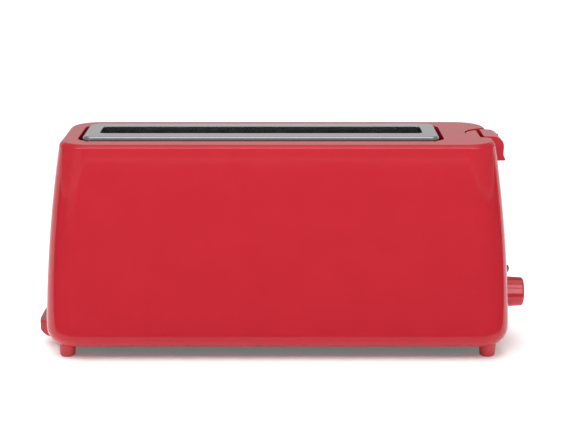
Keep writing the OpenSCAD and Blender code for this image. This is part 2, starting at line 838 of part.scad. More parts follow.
module magnet_bobbin() {
    z0 = base_z + end_t;
    z1 = magnet_top - 1.2;
    color("white") difference() {
        union() {
            rod_z(keeper_x, keeper_y, z0, z1, 3.8);
            rod_z(keeper_x, keeper_y, z0, z0 + 1, 6.6);
            rod_z(keeper_x, keeper_y, z1 - 1, z1, 6.6);
        }
        rod_z(keeper_x, keeper_y, z0 - 1, z1 + 1, 3);
    }
}

module magnet_coil() {
    color("peru") difference() {
        rod_z(keeper_x, keeper_y, base_z + end_t + 1, magnet_top - 2.2, 6);
        rod_z(keeper_x, keeper_y, base_z, magnet_top, 3.8);
    }
}

// Controls

module control_board() {
    color("darkgreen") box(board_x, board_x + board_t, -board_w / 2, board_w / 2, board_z0, board_z1);
}

module potentiometer() {
    x = board_x + board_t;
    color("dimgray") difference() {
        union() {
            rod_x(x, x + pot_l, 0, knob_z, pot_d / 2);
            rod_x(x + pot_l, end_x(knob_z) - wall - 1, 0, knob_z, bush_r);
            box(x, x + 3, -6, 6, knob_z - 12, knob_z - 4);
        }
        rod_x(x + 2, hl + 5, 0, knob_z, shaft_r + fit);
    }
}

module pot_shaft() {
    color("silver") difference() {
        rod_x(board_x + board_t + 2.5, shaft_x1, 0, knob_z, shaft_r);
        box(knob_x + 1, shaft_x1 + 1, -5, 5, knob_z + shaft_r - 1, knob_z + 5);
    }
}

module browning_knob() {
    r = knob_d / 2;
    tip = r - 0.9;
    edge = 2.4;
    dome = 1.2;
    outline = concat(
        [[0, 0], [r, 0], [tip + 0.1, knob_l - dome - edge]],
        [for (a = [10:16:90]) [tip - edge + edge * cos(a), knob_l - dome - edge + edge * sin(a)]],
        [for (s = [4:-1:0]) [(tip - edge) * s / 5, knob_l - dome * s * s / 25]]
    );
    color("crimson") translate([knob_x, 0, knob_z]) rotate([0, 90, 0]) difference() {
        rotate_extrude($fn = 96) polygon(outline);
        difference() {
            translate([0, 0, -1]) cylinder(h = knob_l - 3.5, r = r - 2.2, $fn = 64);
            translate([0, 0, -2]) cylinder(h = knob_l, r = 6, $fn = 64);
        }
        difference() {
            translate([0, 0, -1]) cylinder(h = 1 + shaft_x1 - knob_x, r = shaft_r, $fn = 48);
            translate([-5 - shaft_r + 1, -5, 1]) cube([5, 10, shaft_x1 - knob_x]);
        }
        translate([-r, -0.6, knob_l - dome - 1.4]) cube([r - 5, 1.2, 3]);
    }
}

module stop_switch() {
    x = board_x + board_t;
    color("black") {
        box(x, x + 3.4, -3, 3, button_z - 3, button_z + 3);
        rod_x(x + 3.4, switch_x, 0, button_z, 1.7);
    }
}

module stop_button() {
    r = button_d / 2;
    x0 = switch_x + button_travel + seat;
    lip = end_x(button_z + 6) - wall - 2.4;
    color("black") translate([x0, 0, button_z]) rotate([0, 90, 0]) rotate_extrude($fn = 64) polygon(concat(
        [[0, 0], [2, 0], [2, lip - x0], [r + 1.2, lip - x0], [r + 1.2, lip - x0 + 1.2], [r, lip - x0 + 1.2]],
        [for (a = [0:15:75]) [r - 1.6 + 1.6 * cos(a), button_tip - x0 - 2.2 + 1.6 * sin(a)]],
        [[(r - 1.6) * 0.6, button_tip - x0 - 0.3], [0, button_tip - x0]]
    ));
}

module timer_chip() {
    x = board_x;
    z = contact_z + 4;
    color("black") {
        box(x - 3, x - 0.6, -24, -14, z, z + 20);
        for (i = [0:6]) {
            low = z + 1.6 + 2.7 * i;
            for (y = [-25.2, -13.6]) box(x - 2, x, y, y + 0.8, low, low + 0.6);
            box(x - 2, x - 1.4, -25.2, -12.8, low, low + 0.6);
        }
    }
}

module capacitor() {
    color("navy") {
        rod_x(board_x - can_h, board_x, can_y, can_z, can_r);
        rod_x(board_x - can_h - 0.6, board_x - can_h, can_y, can_z, can_r - 0.8);
    }
}

module dropper_resistor() {
    color("white") {
        z = board_z1 - 9;
        box(board_x - 9, board_x - 2, -10, 10, z - 3.5, z + 3.5);
        for (y = [-8, 8]) rod_x(board_x - 3, board_x, y, z, 0.5);
    }
}

module terminal_block() {
    color("whitesmoke") difference() {
        box(block_x0, block_x1, block_y - 4.5, block_y + 4.5, base_z, base_z + 12);
        for (s = [-2.3, 2.3]) {
            rod_x(block_x0 - 1, block_x1 + 1, block_y + s, base_z + 6, 1.6);
            rod_z(block_x0 + 5, block_y + s, base_z + 8, base_z + 13, 1.8);
            rod_z(block_x1 - 5, block_y + s, base_z + 8, base_z + 13, 1.8);
        }
    }
}

module cord_gland() {
    y = hd - wall;
    color("black") difference() {
        union() {
            rod_y(gland_x, y - 1, hd + 0.5, gland_z, gland_r);
            rod_y(gland_x, hd, hd + 1.2, gland_z, gland_r + 2.5);
            rod_y(gland_x, y - 3, y - 0.5, gland_z, gland_r + 1.5);
        }
        rod_y(gland_x, y - 5, hd + 5, gland_z, gland_bore_r);
    }
}

// A sprung contact blade standing off the board, under the carriage's arm
module contact(y) {
    x1 = board_x;
    box(x1 - 5, x1, y - 3, y + 3, contact_z - 6, contact_z);
    box(x1 - 16, x1 - 4, y - 2.5, y + 2.5, contact_z - 3.4, contact_z - 3);
    rod_z(x1 - 14, y, contact_z - 3.2, contact_z - 1.6, 1.5);
}

module contact_front() {
    color("goldenrod") contact(-contact_y);
}

module contact_back() {
    color("goldenrod") contact(contact_y);
}

module lead_live() {
    color("saddlebrown") lead([
        [block_x1 - 4, block_y - 2.3, base_z + 6], [block_x1 + 5, block_y - 2.3, base_z + 6],
        [chamber_x1 + 18, block_y - 8, base_z + 6], [chamber_x1 + 30, block_y - 10, base_z + 8],
        [board_x - 8, 18, 28], [board_x, 18, 28]
    ], 1.2);
}

module lead_neutral() {
    color("royalblue") lead([
        [block_x1 - 4, block_y + 2.3, base_z + 6], [block_x1 + 7, block_y + 2.3, base_z + 7],
        [chamber_x1 + 17, block_y - 7, base_z + 12], [chamber_x1 + 30, block_y - 13, base_z + 13],
        [board_x - 8, 8, 24], [board_x, 8, 24]
    ], 1.2);
}

module lead_heater(s) {
    x = chamber_x1 + end_t + mica_tab;
    lead([
        [x, s * heater_y, mica_z0 + 16], [x + 9, s * heater_y, mica_z0 + 13], [chamber_x1 + 24, s * 26, 35],
        [board_x - 12, s * 28.5, 33], [board_x - 6, s * 28.5, 36], [board_x, s * 28.5, 36]
    ], 1);
}

module lead_heater_front() {
    color("ivory") lead_heater(-1);
}

module lead_heater_back() {
    color("ivory") lead_heater(1);
}

in_frame() housing();
in_frame() top_plate();
in_frame() base_plate();
in_frame() feet();
in_frame() foot_screws();
in_frame() base_screws();
in_frame() crumb_tray();
in_frame() tray_handle();
in_frame() lever_cap();
in_frame() carriage();
in_frame() bread_rack();
in_frame() rack_rivets();
in_frame() keeper();
in_frame() guide_rod();
in_frame() return_spring();
in_frame() top_bracket();
in_frame() top_bumper();
in_frame() end_plate_left();
in_frame() end_plate_right();
in_frame() reflector_front();
in_frame() reflector_back();
in_frame() mica_front();
in_frame() mica_back();
in_frame() winding_front();
in_frame() winding_back();
in_frame() heater_link();
in_frame() guard_front();
in_frame() guard_back();
in_frame() chassis_screws();
in_frame() magnet_bracket();
in_frame() magnet_core();
in_frame() magnet_bobbin();
in_frame() magnet_coil();
in_frame() control_board();
in_frame() potentiometer();
in_frame() pot_shaft();
in_frame() browning_knob();
in_frame() stop_switch();
in_frame() stop_button();
in_frame() timer_chip();
in_frame() capacitor();
in_frame() dropper_resistor();
in_frame() terminal_block();
in_frame() cord_gland();
in_frame() contact_front();
in_frame() contact_back();
in_frame() lead_live();
in_frame() lead_neutral();
in_frame() lead_heater_front();
in_frame() lead_heater_back();
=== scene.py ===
"""Long-slot toaster: its visible pieces, its finishes and a plain studio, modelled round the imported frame."""

import json
import math
from contextlib import contextmanager

import bmesh
import bpy
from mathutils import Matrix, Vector

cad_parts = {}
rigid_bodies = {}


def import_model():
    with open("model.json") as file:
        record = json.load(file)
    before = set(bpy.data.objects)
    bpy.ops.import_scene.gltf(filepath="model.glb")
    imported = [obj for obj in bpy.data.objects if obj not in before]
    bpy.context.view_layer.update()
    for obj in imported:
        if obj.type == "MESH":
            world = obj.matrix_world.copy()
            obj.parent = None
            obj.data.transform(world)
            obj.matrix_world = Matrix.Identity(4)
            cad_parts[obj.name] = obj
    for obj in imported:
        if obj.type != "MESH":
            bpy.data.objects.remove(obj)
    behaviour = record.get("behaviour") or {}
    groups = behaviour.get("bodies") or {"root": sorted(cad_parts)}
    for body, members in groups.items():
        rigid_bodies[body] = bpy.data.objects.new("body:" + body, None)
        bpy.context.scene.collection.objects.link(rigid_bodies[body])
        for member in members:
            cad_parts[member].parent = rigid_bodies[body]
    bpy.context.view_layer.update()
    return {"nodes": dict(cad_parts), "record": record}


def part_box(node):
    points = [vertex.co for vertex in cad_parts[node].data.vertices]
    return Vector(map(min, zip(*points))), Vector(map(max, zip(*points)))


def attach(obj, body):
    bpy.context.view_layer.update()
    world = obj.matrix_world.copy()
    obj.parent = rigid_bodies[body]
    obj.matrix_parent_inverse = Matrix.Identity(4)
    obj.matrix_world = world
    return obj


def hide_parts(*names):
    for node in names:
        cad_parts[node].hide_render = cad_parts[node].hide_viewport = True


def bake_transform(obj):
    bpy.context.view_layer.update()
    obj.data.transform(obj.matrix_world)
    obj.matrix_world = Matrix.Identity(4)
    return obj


bl_info = {
    "name": "Long-slot toaster",
    "version": (1, 0, 0),
    "blender": (4, 5, 0),
    "location": "3D View > Sidebar > Toaster",
    "description": "Models the shell, the plate, the controls and the finishes of a long-slot toaster",
    "category": "Object",
}

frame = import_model()
SHELL_LOW, SHELL_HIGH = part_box("housing")
PLATE_LOW, PLATE_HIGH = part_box("top_plate")
MIDDLE_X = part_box("feet")[0].x + (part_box("feet")[1].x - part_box("feet")[0].x) / 2
END_X = MIDDLE_X + 0.1906
PLATE_CORNER = 0.0085
BASE_Z = 0.0112
BOSS_RADIUS, BOSS_HEIGHT = 0.0095, 0.015
POST_X, POST_Y, POST_RADIUS, POST_HEIGHT = 0.1504, 0.038, 0.004, 0.018
COLLAR_WALL, COLLAR_DEPTH = 0.002, 0.0105
DISH_IN, DISH_DEPTH = 0.0136, 0.0007
GROOVE_DEPTH, GROOVE_WIDTH = 0.0017, 0.001
KNOB_HOLE, BUTTON_HOLE, GLAND_HOLE = 0.005, 0.0036, 0.0051
POCKET_RADIUS, SCREW_RADIUS, FOOT_RADIUS = 0.0072, 0.00125, 0.007
FLOOR_X, FLOOR_Y, FLOOR_CORNER = 0.172, 0.0445, 0.007
SLIT_LOW, SLIT_HIGH = 0.0864, 0.1654
HANDLE_BACK = MIDDLE_X - 0.1866


def length(name, description, default, low=0.0, high=1.0):
    """A size in metres that a user can change in the sidebar."""
    return bpy.props.FloatProperty(
        name=name, description=description, default=default, min=low, max=high,
        unit="LENGTH", precision=4,
    )


def paint(name, description, default):
    """A linear colour that a user can change in the sidebar."""
    return bpy.props.FloatVectorProperty(
        name=name, description=description, default=default, min=0, max=1,
        size=3, subtype="COLOR",
    )


class ToasterShellSizes(bpy.types.PropertyGroup):
    wall: length("Wall", "Thickness of the shell's wall", 0.0025)
    corner: length("Corner", "Radius of the upright corners at the belly", 0.025)
    deck_round: length("Deck rounding", "Radius between the deck and the sides", 0.004)
    under_round: length("Under rounding", "Radius between the sides and the underside", 0.016)
    end_lean: length("End lean", "How far each end leans in from the belly to the deck", 0.0149)
    side_lean: length("Side lean", "How far the front and the back lean in", 0.008)
    belly: length("Belly height", "Height at which the shell is widest", 0.03)
    deck_gap: length("Deck gap", "Gap round the plate in the deck", 0.0038)
    well_width: length("Well width", "Width of the lever's well", 0.034)
    well_floor: length("Well floor", "Height of the well's floor", 0.0765)
    well_back: length("Well back", "Distance from the shell's widest end to the well's back", 0.0246)
    dish: length("Finger dish", "Radius of the finger dish round the lever", 0.022)


class ToasterPlateSizes(bpy.types.PropertyGroup):
    sheet: length("Sheet", "Thickness of the plate", 0.0008)
    corner: length("Corner", "Radius of the plate's corners", 0.0085)
    edge_roll: length("Rolled edge", "Radius of the plate's rolled outer edge", 0.0027)
    slot_length: length("Slot length", "Length of the bread slot", 0.2626)
    slot_width: length("Slot width", "Width of the bread slot", 0.0297)
    slot_corner: length("Slot corner", "Radius of the slot's corners", 0.004)
    crown: length("Crown", "Rise of the plate from its edge to the slot", 0.0004)


class ToasterControlSizes(bpy.types.PropertyGroup):
    cap_round: length("Cap rounding", "Radius of the lever cap's outer edge", 0.009)
    cap_skin: length("Cap skin", "Thickness of the lever cap", 0.0022)
    knob_edge: length("Knob edge", "Radius of the knob's rim", 0.0022)
    knob_dome: length("Knob dome", "Rise of the knob's face", 0.0011)
    handle_bow: length("Handle bow", "Radius of the tray handle's outer edge seen from above", 0.14)


class ToasterFinishes(bpy.types.PropertyGroup):
    shell: paint("Shell", "Colour of the gloss shell", (0.46, 0.0195, 0.0305))
    fittings: paint("Fittings", "Colour of the feet, the knob, the cap and the handle", (0.45, 0.020, 0.033))
    plate: paint("Plate", "Colour of the top plate", (0.60, 0.60, 0.61))


class ToasterStage(bpy.types.PropertyGroup):
    distance: length("Camera distance", "From the camera to the middle plane", 1.2225, 0.3, 5)
    height: length("Camera height", "Height of the camera over the floor", 0.4067, 0, 3)
    pitch: bpy.props.FloatProperty(
        name="Pitch", description="How far the camera looks down", default=math.radians(13.8),
        subtype="ANGLE",
    )
    lens: bpy.props.FloatProperty(name="Lens", description="Focal length in millimetres", default=95.24)
    floor: paint("Floor", "Colour of the floor and the backdrop", (0.90, 0.90, 0.90))


# Modelling helpers


def only(ob, *others):
    """Selects ob and any others, and nothing else, and makes ob the active one."""
    bpy.ops.object.select_all(action="DESELECT")
    for each in (*others, ob):
        each.select_set(True)
    bpy.context.view_layer.objects.active = ob


@contextmanager
def editing(ob):
    """Edit mode on ob alone, with nothing selected."""
    only(ob)
    bpy.ops.object.mode_set(mode="EDIT")
    bpy.ops.mesh.select_mode(type="VERT")
    bpy.ops.mesh.select_all(action="DESELECT")
    yield ob
    bpy.ops.object.mode_set(mode="OBJECT")


def pick(ob, kind, test):
    """In edit mode, selects only the vertices, edges or faces of ob that pass test, and returns how many."""
    bpy.ops.mesh.select_mode(type=kind)
    bpy.ops.mesh.select_all(action="DESELECT")
    mesh = bmesh.from_edit_mesh(ob.data)
    parts = {"VERT": mesh.verts, "EDGE": mesh.edges, "FACE": mesh.faces}[kind]
    found = [p for p in parts if test(p)]
    for p in found:
        p.select_set(True)
    mesh.select_flush_mode()
    bmesh.update_edit_mesh(ob.data)
    if not found:
        raise RuntimeError(f"nothing to select on {ob.name}")
    return len(found)


def facing(axis, sign, level=None, slack=1e-5):
    """A test for faces that look along an axis, at a level if one is given."""
    def test(face):
        at_level = level is None or abs(face.calc_center_median()[axis] - level) < slack
        return at_level and face.normal[axis] * sign > 0.9
    return test


def edges_at(axis, level, slack=1e-5):
    """A test for edges that lie wholly at a level of an axis."""
    return lambda edge: all(abs(v.co[axis] - level) < slack for v in edge.verts)


def upright(edge):
    """Whether an edge runs more up than across."""
    run = edge.verts[1].co - edge.verts[0].co
    return abs(run.z) > 0.9 * run.length


def block(name, x, y, z):
    """A cuboid between two levels on each axis, in metres, with its place in its mesh."""
    bpy.ops.object.select_all(action="DESELECT")
    middle = [(a[0] + a[1]) / 2 for a in (x, y, z)]
    bpy.ops.mesh.primitive_cube_add(size=1, location=middle)
    ob = bpy.context.object
    ob.scale = [a[1] - a[0] for a in (x, y, z)]
    return settle(ob, name)


def rod(name, start, length_, radius, axis="X", sides=64):
    """A round bar from start along an axis."""
    bpy.ops.object.select_all(action="DESELECT")
    turn = {"X": (0, math.pi / 2, 0), "Y": (-math.pi / 2, 0, 0), "Z": (0, 0, 0)}[axis]
    step = Vector((axis == "X", axis == "Y", axis == "Z")) * length_ / 2
    bpy.ops.mesh.primitive_cylinder_add(
        vertices=sides, radius=radius, depth=length_, location=Vector(start) + step, rotation=turn
    )
    return settle(bpy.context.object, name)


def settle(ob, name):
    """Puts an object's place, turn and scale into its mesh."""
    ob.name = name
    ob.data.name = name
    only(ob)
    bpy.ops.object.transform_apply(location=True, rotation=True, scale=True)
    return ob


def outline(name, points):
    """A chain of edges through points, drawn by extruding one vertex."""
    bpy.ops.object.select_all(action="DESELECT")
    bpy.ops.mesh.primitive_plane_add(size=0.001, location=points[0])
    ob = settle(bpy.context.object, name)
    with editing(ob):
        bpy.ops.mesh.select_all(action="SELECT")
        bpy.ops.mesh.merge(type="CENTER")
        for a, b in zip(points, points[1:]):
            bpy.ops.mesh.extrude_region_move(
                TRANSFORM_OT_translate={"value": Vector(b) - Vector(a)}
            )
    return ob


def arc(step, count):
    """Angles from zero in equal steps of so many degrees."""
    return [math.radians(step * i) for i in range(count)]


def turned(name, points, centre, axis, steps=64):
    """A turned piece: a profile spun once about an axis, closed and facing outwards."""
    ob = outline(name, points)
    with editing(ob):
        bpy.ops.mesh.select_all(action="SELECT")
        bpy.ops.mesh.spin(
            steps=steps, angle=2 * math.pi, center=centre, axis=axis, use_normal_flip=False
        )
        bpy.ops.mesh.select_all(action="SELECT")
        bpy.ops.mesh.remove_doubles(threshold=2e-6)
        bpy.ops.mesh.normals_make_consistent(inside=False)
    return ob


def prism(name, points, run):
    """A closed profile filled and drawn out by run."""
    ob = outline(name, points)
    with editing(ob):
        bpy.ops.mesh.select_all(action="SELECT")
        bpy.ops.mesh.edge_face_add()
        bpy.ops.mesh.extrude_region_move(TRANSFORM_OT_translate={"value": run})
        bpy.ops.mesh.select_all(action="SELECT")
        bpy.ops.mesh.normals_make_consistent(inside=False)
    return ob


def modify(ob, kind, **settings):
    """Adds one modifier and applies it."""
    only(ob)
    mod = ob.modifiers.new(kind.title(), kind)
    for key, value in settings.items():
        setattr(mod, key, value)
    bpy.ops.object.modifier_apply(modifier=mod.name)
    return ob


def cut(ob, *tools, operation="DIFFERENCE"):
    """Takes tools away from ob, or adds them to it, and removes them."""
    for tool in tools:
        modify(ob, "BOOLEAN", operation=operation, solver="EXACT", object=tool)
        mesh = tool.data
        bpy.data.objects.remove(tool)
        bpy.data.meshes.remove(mesh)
    return ob


def rounded_block(name, x, y, z, corner, segments=8):
    """A cuboid with rounded upright corners."""
    ob = block(name, x, y, z)
    with editing(ob):
        pick(ob, "EDGE", upright)
        bpy.ops.mesh.bevel(offset=corner, segments=segments, affect="EDGES")
    return ob


def smooth(ob, angle=40):
    """Smooth shading up to an angle."""
    only(ob)
    bpy.ops.object.shade_smooth_by_angle(angle=math.radians(angle))
    return ob


def soften(ob, width, segments=2, angle=50):
    """Breaks sharp edges by a small rounding and weights the shading to the large faces."""
    modify(
        ob, "BEVEL", width=width, segments=segments, limit_method="ANGLE",
        angle_limit=math.radians(angle), use_clamp_overlap=True, miter_outer="MITER_ARC",
    )
    smooth(ob, 40)
    modify(ob, "WEIGHTED_NORMAL", weight=60, keep_sharp=True)
    return ob


def dress(ob, finish, body, *nodes):
    """Gives a new piece its finish and its body, and hides the CAD nodes it stands for."""
    ob.data.materials.clear()
    ob.data.materials.append(bpy.data.materials[finish])
    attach(ob, body)
    if nodes:
        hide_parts(*nodes)
    return ob


# Finishes


class Board:
    """A small layer over one material's nodes."""

    def __init__(self, name):
        packed = bpy.data.materials.get(name)
        if packed:
            bpy.data.materials.remove(packed)
        self.material = bpy.data.materials.new(name)
        self.material.use_nodes = True
        self.tree = self.material.node_tree
        self.shader = self.tree.nodes["Principled BSDF"]
        self.place = self.add("ShaderNodeTexCoord").outputs["Object"]

    def add(self, kind, **values):
        node = self.tree.nodes.new(kind)
        for key, value in values.items():
            if key in node.inputs:
                self.join(value, node.inputs[key])
            else:
                setattr(node, key, value)
        return node

    def join(self, value, socket):
        if isinstance(value, bpy.types.NodeSocket):
            self.tree.links.new(value, socket)
        else:
            socket.default_value = value

    def stretched(self, scale):
        return self.add("ShaderNodeMapping", Vector=self.place, Scale=scale).outputs["Vector"]

    def noise(self, scale, detail=3.0, stretch=(1, 1, 1), roughness=0.5):
        return self.add(
            "ShaderNodeTexNoise", Vector=self.stretched(stretch), Scale=scale, Detail=detail,
            Roughness=roughness,
        ).outputs["Fac"]

    def span(self, value, low, high, start=0.3, end=0.7):
        node = self.add("ShaderNodeMapRange", Value=value)
        for key, number in zip(("From Min", "From Max", "To Min", "To Max"), (start, end, low, high)):
            node.inputs[key].default_value = number
        return node.outputs["Result"]

    def sums(self, operation, a, b):
        node = self.add("ShaderNodeMath", operation=operation)
        self.join(a, node.inputs[0])
        self.join(b, node.inputs[1])
        return node.outputs[0]

    def blend(self, share, a, b):
        node = self.add("ShaderNodeMix", data_type="RGBA")
        self.join(share, node.inputs[0])
        self.join(a, node.inputs[6])
        self.join(b, node.inputs[7])
        return node.outputs[2]

    def edges(self, radius, low=0.02, high=0.35):
        """1 along sharp edges, 0 on flat faces."""
        bent = self.add("ShaderNodeBevel", samples=3, Radius=radius).outputs["Normal"]
        flat = self.add("ShaderNodeNewGeometry").outputs["Normal"]
        dot = self.add("ShaderNodeVectorMath", operation="DOT_PRODUCT")
        self.join(bent, dot.inputs[0])
        self.join(flat, dot.inputs[1])
        return self.span(self.sums("SUBTRACT", 1.0, dot.outputs["Value"]), 0, 1, low, high)

    def bump(self, height, distance, strength=0.5, under=None):
        node = self.add("ShaderNodeBump", Height=height, Distance=distance, Strength=strength)
        if under is not None:
            self.join(under, node.inputs["Normal"])
        return node.outputs["Normal"]


def shade(colour, factor):
    """A colour made lighter or darker, with full alpha."""
    return tuple(min(1, c * factor) for c in colour[:3]) + (1,)


def base_finish(name, colour, metal, rough, grain, stretch, depth, spread, wear, ior=1.5, coat=0.0):
    """Colour variation, roughness and bump from noise, with worn edges. Returns the board and its parts."""
    b = Board(name)
    cloud = b.noise(grain * 0.07, 3, stretch)
    fine = b.noise(grain, 4, stretch, 0.6)
    tone = b.blend(b.span(cloud, 0, 1), shade(colour, 1 - spread), shade(colour, 1 + spread))
    rub = b.sums("MULTIPLY", b.edges(0.0006), b.span(b.noise(grain * 0.4), 0.2, 1))
    worn = b.sums("MULTIPLY", rub, wear)
    b.join(b.blend(worn, tone, shade(colour, 1.7)), b.shader.inputs["Base Color"])
    dull = b.span(b.sums("ADD", b.sums("MULTIPLY", cloud, 0.5), b.sums("MULTIPLY", fine, 0.5)),
                  rough[0], rough[1])
    b.join(b.sums("ADD", dull, b.sums("MULTIPLY", worn, 0.12)), b.shader.inputs["Roughness"])
    b.shader.inputs["Metallic"].default_value = metal
    b.shader.inputs["IOR"].default_value = ior
    b.shader.inputs["Coat Weight"].default_value = coat
    b.shader.inputs["Coat Roughness"].default_value = 0.05
    b.join(b.bump(fine, depth), b.shader.inputs["Normal"])
    b.fine, b.tone, b.colour = fine, tone, colour
    return b


# name: colour, metallic, roughness range, grain, stretch, bump depth, spread, wear, index of refraction
EVEN = (1, 1, 1)
FINISHES = {
    "base_black": ((0.022, 0.022, 0.024), 0, (0.42, 0.55), 1500, EVEN, 6e-5, 0.10, 0.5, 1.5),
    "gloss_black": ((0.008, 0.008, 0.009), 0, (0.06, 0.12), 700, EVEN, 5e-6, 0.15, 0.2, 1.5),
    "inner_black": ((0.018, 0.018, 0.020), 0, (0.35, 0.5), 1200, EVEN, 3e-5, 0.10, 0.4, 1.5),
    "rubber_black": ((0.014, 0.014, 0.014), 0, (0.65, 0.85), 2200, EVEN, 6e-5, 0.12, 0.2, 1.45),
    "screw_steel": ((0.58, 0.58, 0.56), 1, (0.22, 0.38), 900, EVEN, 1e-5, 0.08, 0.5, 1.5),
    # chamber_sheet's colour is darkened as painted shade for the inside of the bread slot
    "chamber_sheet": ((0.27, 0.27, 0.26), 1, (0.16, 0.30), 160, EVEN, 1e-5, 0.05, 0.4, 1.5),
    "tray_sheet": ((0.55, 0.55, 0.54), 1, (0.26, 0.40), 700, (0.08, 1, 1), 1e-5, 0.06, 0.4, 1.5),
    "wire_chrome": ((0.50, 0.50, 0.51), 1, (0.10, 0.22), 900, EVEN, 6e-6, 0.08, 0.2, 1.5),
    "lift_steel": ((0.52, 0.52, 0.51), 1, (0.28, 0.42), 800, (1, 1, 0.1), 1e-5, 0.07, 0.5, 1.5),
    "rod_chrome": ((0.64, 0.64, 0.65), 1, (0.08, 0.18), 1400, (1, 1, 0.05), 5e-6, 0.05, 0.2, 1.5),
    "spring_steel": ((0.45, 0.45, 0.46), 1, (0.22, 0.34), 1200, EVEN, 6e-6, 0.08, 0.2, 1.5),
    "soft_iron": ((0.40, 0.39, 0.37), 1, (0.36, 0.52), 900, EVEN, 1e-5, 0.10, 0.5, 1.5),
    "bobbin_white": ((0.70, 0.68, 0.62), 0, (0.32, 0.46), 1100, EVEN, 1e-5, 0.04, 0.1, 1.5),
    "shaft_steel": ((0.60, 0.60, 0.59), 1, (0.16, 0.28), 1000, (0.05, 1, 1), 5e-6, 0.06, 0.3, 1.5),
    "can_blue": ((0.015, 0.035, 0.13), 0, (0.14, 0.22), 900, EVEN, 5e-6, 0.08, 0.1, 1.5),
    "ceramic_white": ((0.66, 0.65, 0.61), 0, (0.48, 0.62), 1300, EVEN, 3e-5, 0.05, 0.1, 1.5),
    "contact_brass": ((0.62, 0.44, 0.20), 1, (0.22, 0.36), 900, EVEN, 8e-6, 0.10, 0.4, 1.5),
}
BRAIDS = {
    "lead_brown": (0.12, 0.045, 0.018),
    "lead_blue": (0.02, 0.07, 0.22),
    "lead_white": (0.62, 0.61, 0.57),
}


def make_red(name, colour, rough, grain, depth, level):
    """Gloss moulded plastic: an even red with a faint flow in the gloss and paler edges."""
    b = base_finish(name, colour, 0, rough, grain, EVEN, depth, 0.025, 0.12)
    b.shader.inputs["Specular IOR Level"].default_value = level
    swell = b.bump(b.noise(38, 2), 1.2e-4, 0.35)
    b.join(b.bump(b.fine, depth, 0.4, swell), b.shader.inputs["Normal"])


def make_plate(name, colour):
    """Bright stamped steel with a fine brushed grain along its length."""
    b = base_finish(name, colour, 1, (0.15, 0.27), 900, (0.02, 1, 1), 6e-6, 0.04, 0.35)
    b.shader.inputs["Anisotropic"].default_value = 0.35
    scratch = b.noise(2600, 2, (0.006, 1, 1))
    b.join(b.bump(scratch, 4e-6, 0.35, b.bump(b.noise(26, 2), 6e-5, 0.3)), b.shader.inputs["Normal"])


def make_chamber(name):
    """Galvanised sheet: crystal spangle over metal whose colour is darkened as painted shade for the inside of
    the deep slot.
    """
    b = base_finish(name, *FINISHES[name])
    cells = b.add("ShaderNodeTexVoronoi", Vector=b.place, Scale=150.0)
    tint = b.span(cells.outputs["Color"], 0, 1, 0, 1)
    b.join(
        b.blend(tint, shade(b.colour, 0.80), shade(b.colour, 1.08)), b.shader.inputs["Base Color"]
    )
    b.join(b.span(tint, 0.16, 0.34, 0, 1), b.shader.inputs["Roughness"])


def make_mica(name):
    """Pressed mica board: pale brown, layered, full of small bright flakes."""
    b = base_finish(name, (0.33, 0.25, 0.16), 0, (0.38, 0.60), 420, EVEN, 3e-5, 0.16, 0.1)
    flakes = b.add("ShaderNodeTexVoronoi", Vector=b.stretched((1, 1, 0.6)), Scale=420.0)
    spot = b.span(flakes.outputs["Color"], 0, 1, 0.5, 0.9)
    b.join(b.blend(b.sums("MULTIPLY", spot, 0.6), b.tone, (0.52, 0.43, 0.30, 1)),
           b.shader.inputs["Base Color"])
    b.join(b.span(spot, 0.55, 0.22, 0, 1), b.shader.inputs["Roughness"])


def make_ribbon(name):
    """Heater ribbon: dark nickel alloy with straw and blue heat colours."""
    b = base_finish(name, (0.20, 0.18, 0.165), 1, (0.34, 0.5), 700, EVEN, 8e-6, 0.14, 0.2)
    heat = b.span(b.noise(24, 2), 0, 1, 0.4, 0.6)
    b.join(b.blend(heat, b.tone, (0.17, 0.135, 0.10, 1)), b.shader.inputs["Base Color"])


def make_coil(name):
    """Enamelled copper wire in close turns round the bobbin, darker in the grooves between turns as painted
    shade.
    """
    b = base_finish(name, (0.48, 0.17, 0.06), 1, (0.18, 0.3), 800, EVEN, 5e-6, 0.08, 0.1)
    turns = b.add(
        "ShaderNodeTexWave", Vector=b.place, Scale=1100.0, wave_type="BANDS", bands_direction="Z"
    ).outputs["Fac"]
    b.join(b.bump(turns, 1.5e-4, 0.8), b.shader.inputs["Normal"])
    # the grooves between turns are made darker: painted shade
    b.join(b.blend(turns, (0.16, 0.045, 0.015, 1), b.tone), b.shader.inputs["Base Color"])


def make_board(name):
    """Green solder mask over copper tracks, with tinned pads."""
    b = base_finish(name, (0.012, 0.10, 0.035), 0, (0.26, 0.36), 900, EVEN, 1e-5, 0.08, 0.1)
    lines = b.add("ShaderNodeTexBrick", Vector=b.stretched((0, 1, 1)), Scale=160.0)
    track = b.span(lines.outputs["Fac"], 0, 1, 0.4, 0.6)
    pads = b.add("ShaderNodeTexVoronoi", Vector=b.stretched((0, 1, 1)), Scale=230.0)
    pad = b.span(pads.outputs["Distance"], 1, 0, 0.10, 0.16)
    green = b.blend(track, b.tone, (0.03, 0.17, 0.06, 1))
    b.join(b.blend(pad, green, (0.55, 0.55, 0.52, 1)), b.shader.inputs["Base Color"])
    b.join(b.bump(track, 4e-5, 0.6), b.shader.inputs["Normal"])
    b.join(b.sums("MULTIPLY", pad, 0.9), b.shader.inputs["Metallic"])


